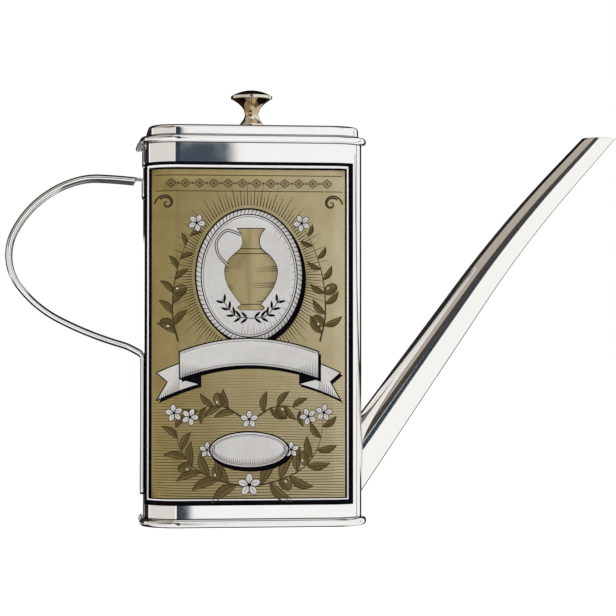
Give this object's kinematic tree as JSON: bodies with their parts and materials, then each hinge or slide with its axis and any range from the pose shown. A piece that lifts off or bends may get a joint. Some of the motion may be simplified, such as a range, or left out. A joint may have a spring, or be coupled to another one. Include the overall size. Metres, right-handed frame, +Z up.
{
  "type": "olive oil tin with spout",
  "caption": "Rounded rectangular steel oil tin with a long slanted pouring spout, a strap handle and a hinged lid with a knob.",
  "frame": {"origin": "centre of the foot's rest plane, in the middle of the tank's length and depth", "axes": "+X along the spout's reach, +Y to the plain back, +Z up; the printed front faces -Y and the handle is on the -X side"},
  "size_m": [0.2406, 0.0476, 0.1686],
  "materials": {
    "tank_steel": "polished stainless steel sheet",
    "base_steel": "polished stainless steel, rolled seam",
    "spout_steel": "polished stainless steel tube",
    "handle_steel": "polished stainless steel strap",
    "hinge_steel": "bright steel sheet and wire",
    "front_print": "gold, black and white lithographed print under clear varnish",
    "lid_steel": "polished stainless steel pressing",
    "knob_nickel": "turned, polished nickel plate",
    "screw_steel": "zinc-plated steel"
  },
  "bodies": {
    "root": {"tank_shell": "tank_steel", "base_pan": "base_steel", "spout": "spout_steel", "handle_strap": "handle_steel", "hinge_leaf": "hinge_steel", "hinge_pin": "hinge_steel", "front_print": "front_print"},
    "lid": {"lid_pan": "lid_steel", "lid_knob": "knob_nickel", "knob_washer": "screw_steel", "knob_screw": "screw_steel"}
  },
  "joints": [
    {"name": "lid_hinge", "type": "hinge", "parent": "root", "child": "lid", "pos_m": [-0.0435, 0, 0.14595], "axis": [0, -1, 0], "range_deg": [0, 110]}
  ]
}
